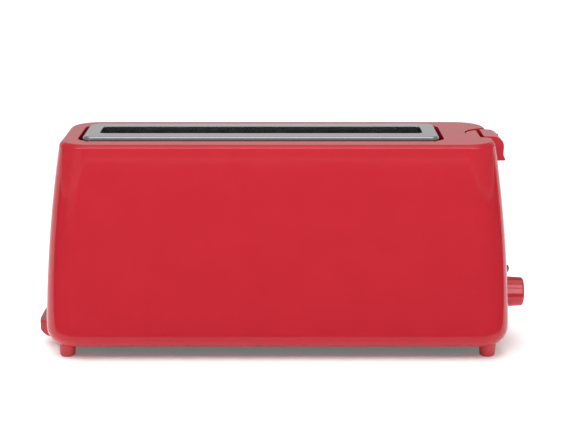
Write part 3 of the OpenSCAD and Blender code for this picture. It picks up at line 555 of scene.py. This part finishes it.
def make_braid(name):
    """Heat-proof sleeving: a fine woven glass braid, dyed and varnished, with painted shade in the hollows of
    the weave.
    """
    b = base_finish(name, BRAIDS[name], 0, (0.42, 0.6), 1400, EVEN, 2e-5, 0.10, 0.1)
    weave = b.sums("MULTIPLY", *(
        b.add(
            "ShaderNodeTexWave", Vector=b.place, Scale=520.0, wave_type="BANDS",
            bands_direction=way,
        ).outputs["Fac"] for way in ("DIAGONAL", "X")
    ))
    b.join(b.bump(weave, 1.2e-4, 0.7), b.shader.inputs["Normal"])
    # the hollows of the weave are made darker: painted shade
    b.join(b.blend(weave, shade(BRAIDS[name], 0.6), b.tone), b.shader.inputs["Base Color"])


class TOASTER_OT_finishes(bpy.types.Operator):
    """Makes every finish and puts it on the CAD nodes that are shown as they are"""

    bl_idname = "toaster.finishes"
    bl_label = "Finishes"

    def execute(self, context):
        colours = context.scene.toaster_finishes
        make_red("shell_red", tuple(colours.shell), (0.05, 0.09), 500, 6e-6, 0.25)
        make_red("part_red", tuple(colours.fittings), (0.12, 0.20), 900, 1e-5, 0.5)
        make_plate("plate_metal", tuple(colours.plate))
        make_chamber("chamber_sheet")
        make_mica("mica_board")
        make_ribbon("heater_ribbon")
        make_coil("coil_copper")
        make_board("board_green")
        for name in BRAIDS:
            make_braid(name)
        for name, values in FINISHES.items():
            if name != "chamber_sheet":
                base_finish(name, *values)
        for row in frame["record"]["subparts"]:
            mesh = frame["nodes"][row["node"]].data
            mesh.materials.clear()
            mesh.materials.append(bpy.data.materials[row["material_slot"]])
        return {"FINISHED"}


# Pieces


def shell_levels(s, top):
    """Heights at which the shell's sides are drawn, with how far they have leaned in there."""
    rows = []
    steps = 11
    for i in range(1, steps + 1):
        t = i / steps
        share = 0.37 * t + 0.63 * t * t
        rows.append((s.belly + t * (top - s.belly), s.end_lean * share, s.side_lean * share))
    return rows


def shell_form(s, w, name):
    """The leaning rounded form, set in by w all round."""
    top = SHELL_HIGH.z - w
    low = SHELL_LOW.z + w
    half_x = (SHELL_HIGH.x - SHELL_LOW.x) / 2 - w
    half_y = SHELL_HIGH.y - w
    ob = block(
        name, (MIDDLE_X - half_x, MIDDLE_X + half_x), (-half_y, half_y), (low, s.belly)
    )
    with editing(ob):
        pick(ob, "FACE", facing(2, 1))
        level, x, y = s.belly, half_x, half_y
        for z, lean_x, lean_y in shell_levels(s, top):
            bpy.ops.mesh.extrude_region_move(TRANSFORM_OT_translate={"value": (0, 0, z - level)})
            bpy.ops.transform.resize(
                value=((half_x - lean_x) / x, (half_y - lean_y) / y, 1),
                center_override=(MIDDLE_X, 0, z),
            )
            level, x, y = z, half_x - lean_x, half_y - lean_y
        pick(ob, "EDGE", upright)
        bpy.ops.mesh.bevel(offset=s.corner - w, segments=14, affect="EDGES")
        pick(ob, "EDGE", edges_at(2, top))
        bpy.ops.mesh.bevel(offset=s.deck_round - w if w else s.deck_round, segments=6, affect="EDGES")
        pick(ob, "EDGE", edges_at(2, low))
        bpy.ops.mesh.bevel(offset=s.under_round - w, segments=10, affect="EDGES")
    return ob


class TOASTER_OT_shell(bpy.types.Operator):
    """Models the moulded shell with its well, its openings and its corner bosses"""

    bl_idname = "toaster.shell"
    bl_label = "Shell"

    def execute(self, context):
        s = context.scene.toaster_shell
        shell = shell_form(s, 0.0, "body_shell")
        cut(shell, shell_form(s, s.wall, "room"))
        for tool in self.added(s):
            cut(tool, shell_form(s, s.wall / 2, "inside"), operation="INTERSECT")
            cut(shell, tool, operation="UNION")
        cut(shell, *self.openings(s))
        soften(shell, 0.0005, 2, 38)
        dress(shell, "shell_red", "shell", "housing")
        return {"FINISHED"}

    def added(self, s):
        """The well's walls, the deck opening's collar, and the bosses for the feet and the base."""
        top = SHELL_HIGH.z
        half = s.well_width / 2 + s.wall
        yield block("well", (END_X - s.well_back - s.wall, END_X - 0.0135), (-half, half),
                    (s.well_floor - s.wall, top - 0.002))
        out = s.deck_gap + COLLAR_WALL
        yield rounded_block(
            "collar", (PLATE_LOW.x - out, PLATE_HIGH.x + out), (PLATE_LOW.y - out, PLATE_HIGH.y + out),
            (top - COLLAR_DEPTH, top - 0.0015), PLATE_CORNER + out,
        )
        for x, y in foot_middles():
            yield rod("boss", (x, y, SHELL_LOW.z), BOSS_HEIGHT, BOSS_RADIUS, "Z", 48)
        for x in (-POST_X, POST_X):
            for y in (-POST_Y, POST_Y):
                yield rod("post", (MIDDLE_X + x, y, BASE_Z), POST_HEIGHT, POST_RADIUS, "Z", 32)

    def openings(self, s):
        """Tools for everything that is open in the shell."""
        top = SHELL_HIGH.z
        half = s.well_width / 2
        gap = s.deck_gap
        yield rounded_block(
            "deck", (PLATE_LOW.x - gap, PLATE_HIGH.x + gap), (PLATE_LOW.y - gap, PLATE_HIGH.y + gap),
            (top - 0.02, top + 0.01), PLATE_CORNER + gap,
        )
        dish_x = END_X - DISH_IN
        yield rod("dish", (dish_x, 0, top - DISH_DEPTH), 0.005, s.dish, "Z", 96)
        groove = rod("groove", (dish_x, 0, top - GROOVE_DEPTH), 0.005, s.dish, "Z", 96)
        cut(groove, rod("land", (dish_x, 0, top - 0.002), 0.006, s.dish - GROOVE_WIDTH, "Z", 96))
        yield groove
        back = END_X - s.well_back
        yield block("notch", (back, END_X + 0.02), (-half, half), (s.well_floor, top + 0.01))
        yield block("slit", (back - 0.004, back + 0.002), (-0.002, 0.002), (SLIT_LOW, SLIT_HIGH))
        for node, radius in (("browning_knob", KNOB_HOLE), ("stop_button", BUTTON_HOLE)):
            yield rod(node + "_hole", (END_X - 0.012, 0, middle_z(node)), 0.02, radius, "X", 48)
        low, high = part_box("crumb_tray")
        yield block(
            "tray_mouth", (SHELL_LOW.x - 0.005, SHELL_LOW.x + 0.02),
            (low.y - 0.001, high.y + 0.001), (low.z - 0.0003, high.z + 0.001),
        )
        low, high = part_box("cord_gland")
        middle = ((low.x + high.x) / 2, SHELL_HIGH.y - 0.01, middle_z("cord_gland"))
        yield rod("gland_hole", middle, 0.015, GLAND_HOLE, "Y", 48)
        yield floor_opening()
        for x, y in foot_middles():
            yield rod("pocket", (x, y, 0.004), 0.009, POCKET_RADIUS, "Z", 48)
            yield rod("screw_hole", (x, y, 0.012), 0.009, SCREW_RADIUS, "Z", 24)


def floor_opening():
    """The tool for the underside's opening, with a bite left for each corner boss."""
    tool = rounded_block(
        "floor_opening", (MIDDLE_X - FLOOR_X, MIDDLE_X + FLOOR_X), (-FLOOR_Y, FLOOR_Y),
        (SHELL_LOW.z - 0.001, SHELL_LOW.z + 0.003), FLOOR_CORNER,
    )
    for x, y in foot_middles():
        cut(tool, rod("bite", (x, y, 0.005), 0.01, BOSS_RADIUS, "Z", 48))
    return tool


def middle_z(node):
    """The height of the middle of a CAD node."""
    low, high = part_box(node)
    return (low.z + high.z) / 2


def foot_middles():
    """The middles of the four feet."""
    return [(x, y) for x in foot_places(0) for y in foot_places(1)]


def foot_places(axis):
    """The two middles of the feet along X or Y."""
    low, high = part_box("feet")
    return low[axis] + FOOT_RADIUS, high[axis] - FOOT_RADIUS


class TOASTER_OT_plate(bpy.types.Operator):
    """Models the crowned plate with its rolled edge and the turned-down rim of the slot"""

    bl_idname = "toaster.plate"
    bl_label = "Top plate"

    def execute(self, context):
        p = context.scene.toaster_plate
        low, high = PLATE_LOW, PLATE_HIGH
        edge = high.z - p.crown
        mid_x = (low.x + high.x) / 2
        plate = rounded_block(
            "slot_plate", (low.x, high.x), (low.y, high.y), (low.z, edge), p.corner
        )
        slot = rounded_block(
            "slot_rim",
            (mid_x - p.slot_length / 2 - p.sheet, mid_x + p.slot_length / 2 + p.sheet),
            (-p.slot_width / 2 - p.sheet, p.slot_width / 2 + p.sheet),
            (low.z, high.z), p.slot_corner + p.sheet,
        )
        for ob in (plate, slot):
            with editing(ob):
                pick(ob, "FACE", lambda f: abs(f.normal.z) > 0.9)
                bpy.ops.mesh.delete(type="FACE")
        only(plate, slot)
        bpy.ops.object.join()
        with editing(plate):
            pick(plate, "EDGE", lambda e: edges_at(2, edge)(e) or edges_at(2, high.z)(e))
            bpy.ops.mesh.bridge_edge_loops()
            bpy.ops.mesh.select_all(action="SELECT")
            bpy.ops.mesh.normals_make_consistent(inside=False)
            pick(plate, "EDGE", edges_at(2, edge))
            bpy.ops.mesh.bevel(offset=p.edge_roll, segments=6, affect="EDGES")
            pick(plate, "EDGE", edges_at(2, high.z))
            bpy.ops.mesh.bevel(offset=0.0007, segments=4, affect="EDGES")
        self.face_out(plate)
        modify(plate, "SOLIDIFY", thickness=p.sheet, offset=-1, use_even_offset=True)
        smooth(plate, 50)
        modify(plate, "WEIGHTED_NORMAL", weight=60, keep_sharp=True)
        dress(plate, "plate_metal", "shell", "top_plate")
        return {"FINISHED"}

    def face_out(self, plate):
        """Makes sure that the top of the open sheet looks up before it gets its thickness."""
        up = max(plate.data.polygons, key=lambda f: f.area * abs(f.normal.z))
        if up.normal.z < 0:
            with editing(plate):
                bpy.ops.mesh.select_all(action="SELECT")
                bpy.ops.mesh.flip_normals()


class TOASTER_OT_lever_cap(bpy.types.Operator):
    """Models the hollow lever cap with its rounded shoulder and finger lip"""

    bl_idname = "toaster.lever_cap"
    bl_label = "Lever cap"

    def execute(self, context):
        c = context.scene.toaster_controls
        low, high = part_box("lever_cap")
        outer = high.x - 0.0014
        cap = block("lever_cap_skin", (low.x, outer), (low.y, high.y), (low.z, high.z))
        with editing(cap):
            for up in (0.0003, 0.0016, 0.0028, 0.005, 0.012):
                bpy.ops.mesh.select_all(action="SELECT")
                bpy.ops.mesh.bisect(plane_co=(0, 0, low.z + up), plane_no=(0, 0, 1))
            lip = ((0, 0.0006), (0.0003, 0.0012), (0.0016, 0.0014), (0.0028, 0.0006), (0.005, -0.0002))
            for up, out in lip:
                pick(cap, "VERT", lambda v: abs(v.co.z - low.z - up) < 1e-5 and v.co.x > outer - 1e-4)
                bpy.ops.transform.translate(value=(out, 0, 0))
            pick(cap, "EDGE", lambda e: edges_at(2, high.z)(e) and edges_at(0, outer)(e))
            bpy.ops.mesh.bevel(offset=c.cap_round, segments=10, affect="EDGES")
            pick(cap, "FACE", lambda f: facing(0, -1, low.x)(f) or facing(2, -1, low.z)(f))
            bpy.ops.mesh.delete(type="FACE")
        modify(cap, "SOLIDIFY", thickness=c.cap_skin, offset=-1, use_even_offset=True)
        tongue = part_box("carriage")[1].z
        cut(
            cap,
            block("socket", (low.x + 0.004, outer - 0.002), (-0.004, 0.004),
                  (tongue - 0.006, tongue + 0.002)),
            block("rib", (low.x + 0.004, outer - 0.003), (-0.0015, 0.0015),
                  (tongue + 0.001, high.z - 0.001)),
            operation="UNION",
        )
        cut(cap, block("tongue", (low.x - 0.001, outer - 0.004), (-0.00102, 0.00102),
                       (tongue - 0.005, tongue)))
        soften(cap, 0.0004, 3, 40)
        dress(cap, "part_red", "lift", "lever_cap")
        return {"FINISHED"}


class TOASTER_OT_knob_and_button(bpy.types.Operator):
    """Turns the browning knob with its rim, domed face and pointer, and the domed stop button"""

    bl_idname = "toaster.knob_and_button"
    bl_label = "Knob and button"

    def execute(self, context):
        c = context.scene.toaster_controls
        low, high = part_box("browning_knob")
        z = (low.z + high.z) / 2
        radius, face = (high.z - low.z) / 2, high.x
        tip = radius - 0.0009
        rim = face - c.knob_dome
        back = radius - 0.0022
        seat, hollow, edge = low.x + 0.0132, low.x + 0.0146, c.knob_edge
        profile = [
            (seat, 0), (seat, 0.00305), (low.x, 0.00305), (low.x, 0.0059), (hollow, 0.0059),
            (hollow, back), (low.x + 0.0004, back), (low.x, back + 0.0004),
            (low.x, radius - 0.0004), (low.x + 0.0004, radius),
        ]
        profile += [(rim - edge + edge * math.sin(a), tip - edge + edge * math.cos(a)) for a in arc(9, 11)]
        profile += [(face - c.knob_dome * t * t, (tip - edge) * t) for t in (0.8, 0.6, 0.4, 0.2, 0)]
        knob = turned(
            "browning_dial", [(x, 0, z + r) for x, r in profile], (low.x, 0, z), (1, 0, 0), 96
        )
        cut(knob, block("pointer", (face - 0.0026, face + 0.001), (-0.0006, 0.0006),
                        (z + 0.0045, z + radius + 0.001)))
        soften(knob, 0.00025, 2, 45)
        dress(knob, "part_red", "knob", "browning_knob")

        low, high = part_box("stop_button")
        z = (low.z + high.z) / 2
        r = 0.0033
        flange = (high.z - low.z) / 2
        lip = high.x - 0.0105
        profile = [
            (low.x, 0), (low.x, 0.002), (lip, 0.002), (lip, flange), (lip + 0.0012, flange),
            (lip + 0.0012, r),
        ]
        profile += [
            (high.x - 0.0022 + 0.0016 * math.sin(a), r - 0.0016 + 0.0016 * math.cos(a))
            for a in arc(12, 8)
        ]
        profile += [(high.x - 0.0002, 0.0009), (high.x, 0)]
        button = turned(
            "stop_cap", [(x, 0, z + q) for x, q in profile], (low.x, 0, z), (1, 0, 0), 64
        )
        soften(button, 0.0001, 1, 50)
        dress(button, "gloss_black", "button", "stop_button")
        return {"FINISHED"}


class TOASTER_OT_tray_handle(bpy.types.Operator):
    """Models the tray's handle with its bowed flat top and curved under face"""

    bl_idname = "toaster.tray_handle"
    bl_label = "Tray handle"

    def execute(self, context):
        c = context.scene.toaster_controls
        low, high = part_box("tray_handle")
        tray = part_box("crumb_tray")[0]
        top, half = high.z, high.y
        profile = [(HANDLE_BACK, top), (low.x + 0.001, top)]
        profile += [(low.x + 0.0112 * (1 - math.cos(a)), top - 0.001 - 0.0135 * math.sin(a))
                    for a in arc(8, 11)]
        profile += [(HANDLE_BACK, top - 0.0145)]
        handle = prism("tray_pull", [(x, -half, z) for x, z in profile], (0, 2 * half, 0))
        bow = rod("bow", (low.x + c.handle_bow, 0, 0), 0.06, c.handle_bow, "Z", 360)
        cut(handle, bow, operation="INTERSECT")
        cut(handle, shell_form(context.scene.toaster_shell, -0.00005, "clear"))
        cut(handle, block("hollow", (MIDDLE_X - 0.1971, HANDLE_BACK + 0.02), (-half + 0.002, half - 0.002),
                          (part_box("crumb_tray")[1].z + 0.002, top - 0.002)))
        cut(handle, block("stem", (tray.x - 0.008, tray.x), (-half + 0.004, half - 0.004),
                          (tray.z + 0.0002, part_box("crumb_tray")[1].z - 0.0005)), operation="UNION")
        soften(handle, 0.0005, 3, 40)
        dress(handle, "part_red", "tray", "tray_handle")
        return {"FINISHED"}


class TOASTER_OT_feet(bpy.types.Operator):
    """Turns one foot with its rounded sole and screw recess, and copies it to the other corners"""

    bl_idname = "toaster.feet"
    bl_label = "Feet"

    def execute(self, context):
        low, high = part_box("feet")
        xs, ys = foot_places(0), foot_places(1)
        top = high.z
        x, y = xs[0], ys[0]
        r = xs[0] - low.x
        profile = [(0.00155, top), (0.00155, 0.004), (0.0036, 0.004), (0.0036, 0.0003), (0.0039, 0)]
        profile += [(r - 0.0026 + 0.0021 * math.sin(a), 0.0021 - 0.0021 * math.cos(a))
                    for a in arc(9, 11)]
        profile += [(r, SHELL_LOW.z), (r, top), (0.00155, top)]
        foot = turned("foot_1", [(x + q, y, z) for q, z in profile], (x, y, 0), (0, 0, 1), 64)
        soften(foot, 0.0002, 2, 50)
        places = [(a - x, b - y) for b in ys for a in xs]
        for i, (dx, dy) in enumerate(places[1:], 2):
            only(foot)
            bpy.ops.object.duplicate(linked=False)
            copy = bpy.context.object
            copy.location = (dx, dy, 0)
            settle(copy, f"foot_{i}")
            dress(copy, "part_red", "shell")
        dress(foot, "part_red", "shell", "feet")
        return {"FINISHED"}


class TOASTER_OT_spring(bpy.types.Operator):
    """Winds the return spring, which spans from its bracket to the carriage"""

    bl_idname = "toaster.spring"
    bl_label = "Return spring"

    def execute(self, context):
        low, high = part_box("return_spring")
        x, y = (low.x + high.x) / 2, (low.y + high.y) / 2
        wire = 0.00045
        radius = (high.x - low.x) / 2 - wire
        start, end = low.z + 0.005, high.z - 0.005
        turns = 24
        bpy.ops.object.select_all(action="DESELECT")
        bpy.ops.mesh.primitive_circle_add(
            vertices=8, radius=wire, location=(radius, 0, 0), rotation=(math.pi / 2, 0, 0)
        )
        coil = settle(bpy.context.object, "coil_spring")
        modify(
            coil, "SCREW", angle=turns * 2 * math.pi, screw_offset=end - start, steps=turns * 20,
            render_steps=turns * 20, axis="Z", use_merge_vertices=False, use_normal_calculate=True,
        )
        coil.location = (x, y, start)
        settle(coil, "coil_spring")
        with editing(coil):
            bpy.ops.mesh.select_all(action="SELECT")
            bpy.ops.mesh.region_to_loop()
            bpy.ops.mesh.fill_holes(sides=0)
        for z0, z1 in ((low.z, start), (end, high.z)):
            stub = rod("hook", (x, y, z0), z1 - z0, wire, "Z", 12)
            bar = rod("bar", (x - radius, y, start if z0 == low.z else end), 2 * radius, wire * 0.9, "X", 12)
            for extra in (stub, bar):
                only(coil, extra)
                bpy.ops.object.join()
        with editing(coil):
            bpy.ops.mesh.select_all(action="SELECT")
            bpy.ops.mesh.normals_make_consistent(inside=False)
        smooth(coil, 60)
        coil.data.materials.clear()
        coil.data.materials.append(bpy.data.materials["spring_steel"])
        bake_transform(coil)
        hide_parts("return_spring")
        return {"FINISHED"}


class TOASTER_OT_stage(bpy.types.Operator):
    """Sets out the pale floor and backdrop, the soft lights and the camera"""

    bl_idname = "toaster.stage"
    bl_label = "Stage"

    def execute(self, context):
        st = context.scene.toaster_stage
        scene = context.scene
        scene.view_settings.view_transform = "Standard"
        scene.view_settings.look = "None"
        cam = bpy.data.cameras.new("camera")
        cam.lens = st.lens
        cam.sensor_width = 36
        eye = bpy.data.objects.new("camera", cam)
        eye.location = (0.0007, -st.distance, st.height)
        eye.rotation_euler = (math.pi / 2 - st.pitch, 0, 0)
        scene.collection.objects.link(eye)
        scene.camera = eye

        board = Board("floor_paper")
        tone = board.span(board.noise(3, 2), 0, 1)
        colour = tuple(st.floor)
        paper = board.blend(tone, shade(colour, 0.99), shade(colour, 1.0))
        board.join(paper, board.shader.inputs["Base Color"])
        board.shader.inputs["Roughness"].default_value = 0.7
        board.shader.inputs["Specular IOR Level"].default_value = 0.2
        board.shader.inputs["Emission Color"].default_value = (1, 1, 1, 1)
        board.shader.inputs["Emission Strength"].default_value = 0.14
        bpy.ops.object.select_all(action="DESELECT")
        bpy.ops.mesh.primitive_plane_add(size=12, location=(0, 0, 0))
        floor = settle(bpy.context.object, "floor")
        floor.data.materials.append(board.material)

        world = bpy.data.worlds.new("room")
        world.use_nodes = True
        back = world.node_tree.nodes["Background"]
        back.inputs["Color"].default_value = (1, 1, 1, 1)
        back.inputs["Strength"].default_value = 0.25
        scene.world = world

        self.panel("front_soft", (0, -0.42, 0.68), (1.5, 0.36), 5.9, self.all_but("slot_plate"))
        self.panel("side_right", (0.60, -1.15, 0.42), (0.44, 0.80), 4.2, self.fittings())
        self.panel("side_left", (-1.05, -1.15, 0.22), (0.8, 0.62), 0.5)
        self.panel("back_board", (0, 2.4, 0.75), (6.0, 1.3), 8.0)
        self.panel("top_soft", (0, 0.15, 1.5), (1.6, 1.0), 5.6)
        self.wash(floor)
        self.card()
        return {"FINISHED"}

    def wash(self, floor):
        """A wide soft light that whitens the floor alone."""
        light = bpy.data.lights.new("floor_wash", "SUN")
        light.energy = 2.6
        light.angle = math.radians(70)
        ob = bpy.data.objects.new("floor_wash", light)
        ob.rotation_euler = (math.radians(-12), math.radians(-16), 0)
        bpy.context.scene.collection.objects.link(ob)
        ob.light_linking.receiver_collection = self.lit("lit_floor", [floor])

    def card(self):
        """A dark card on the floor, seen only in reflections, which keeps the front's gloss deep."""
        corners = ((-0.205, -0.085), (-4, 0.85), (-4, -4), (4, -4), (4, 2.3), (0.200, -0.085))
        card = outline("dark_card", [(x, y, 0.002) for x, y in corners])
        with editing(card):
            bpy.ops.mesh.select_all(action="SELECT")
            bpy.ops.mesh.edge_face_add()
        board = Board("card_black")
        grain = board.span(board.noise(200), 0.02, 0.04)
        board.join(grain, board.shader.inputs["Base Color"])
        board.shader.inputs["Roughness"].default_value = 0.8
        card.data.materials.append(board.material)
        card.visible_camera = card.visible_diffuse = card.visible_shadow = False

    def lit(self, name, obs):
        """A collection of the only pieces that a light falls on."""
        held = bpy.data.collections.new(name)
        for ob in obs:
            held.objects.link(ob)
        return held

    def all_but(self, name):
        """Every piece but one."""
        obs = bpy.context.scene.objects
        return self.lit("lit_all_but_" + name, [ob for ob in obs if ob.type == "MESH" and ob.name != name])

    def fittings(self):
        """The small pieces that get a light of their own."""
        red = bpy.data.materials["part_red"]
        black = bpy.data.materials["gloss_black"]
        return self.lit("lit_fittings", [
            ob for ob in bpy.context.scene.objects
            if ob.type == "MESH" and ob.data.materials and ob.data.materials[0] in (red, black)
        ])

    def panel(self, name, place, size, watts, lit=None):
        """A soft panel light that faces the toaster, unseen by the camera. It may light only some pieces."""
        light = bpy.data.lights.new(name, "AREA")
        light.shape = "RECTANGLE"
        light.size, light.size_y = size
        light.energy = watts
        ob = bpy.data.objects.new(name, light)
        ob.location = place
        ob.rotation_euler = (Vector(place) - Vector((0, 0, 0.08))).to_track_quat("Z", "Y").to_euler()
        ob.visible_camera = False
        if lit:
            ob.light_linking.receiver_collection = lit
        bpy.context.scene.collection.objects.link(ob)


class TOASTER_PT_sidebar(bpy.types.Panel):
    """Lists the sizes, the finishes and the pieces"""

    bl_label = "Toaster"
    bl_idname = "TOASTER_PT_sidebar"
    bl_space_type = "VIEW_3D"
    bl_region_type = "UI"
    bl_category = "Toaster"

    def draw(self, context):
        for group, _ in GROUPS:
            held = getattr(context.scene, group)
            box = self.layout.box()
            for name in held.bl_rna.properties.keys():
                if name not in ("rna_type", "name"):
                    box.prop(held, name)
        for step in STEPS:
            self.layout.operator(step.bl_idname)


GROUPS = (
    ("toaster_shell", ToasterShellSizes),
    ("toaster_plate", ToasterPlateSizes),
    ("toaster_controls", ToasterControlSizes),
    ("toaster_finishes", ToasterFinishes),
    ("toaster_stage", ToasterStage),
)
STEPS = (
    TOASTER_OT_finishes,
    TOASTER_OT_shell,
    TOASTER_OT_plate,
    TOASTER_OT_lever_cap,
    TOASTER_OT_knob_and_button,
    TOASTER_OT_tray_handle,
    TOASTER_OT_feet,
    TOASTER_OT_spring,
    TOASTER_OT_stage,
)


def register():
    for name, group in GROUPS:
        bpy.utils.register_class(group)
        setattr(bpy.types.Scene, name, bpy.props.PointerProperty(type=group))
    for step in STEPS:
        bpy.utils.register_class(step)
    bpy.utils.register_class(TOASTER_PT_sidebar)


def unregister():
    bpy.utils.unregister_class(TOASTER_PT_sidebar)
    for step in reversed(STEPS):
        bpy.utils.unregister_class(step)
    for name, group in reversed(GROUPS):
        delattr(bpy.types.Scene, name)
        bpy.utils.unregister_class(group)


def main():
    register()
    for step in STEPS:
        group, name = step.bl_idname.split(".")
        getattr(getattr(bpy.ops, group), name)()


if __name__ == "__main__":
    main()
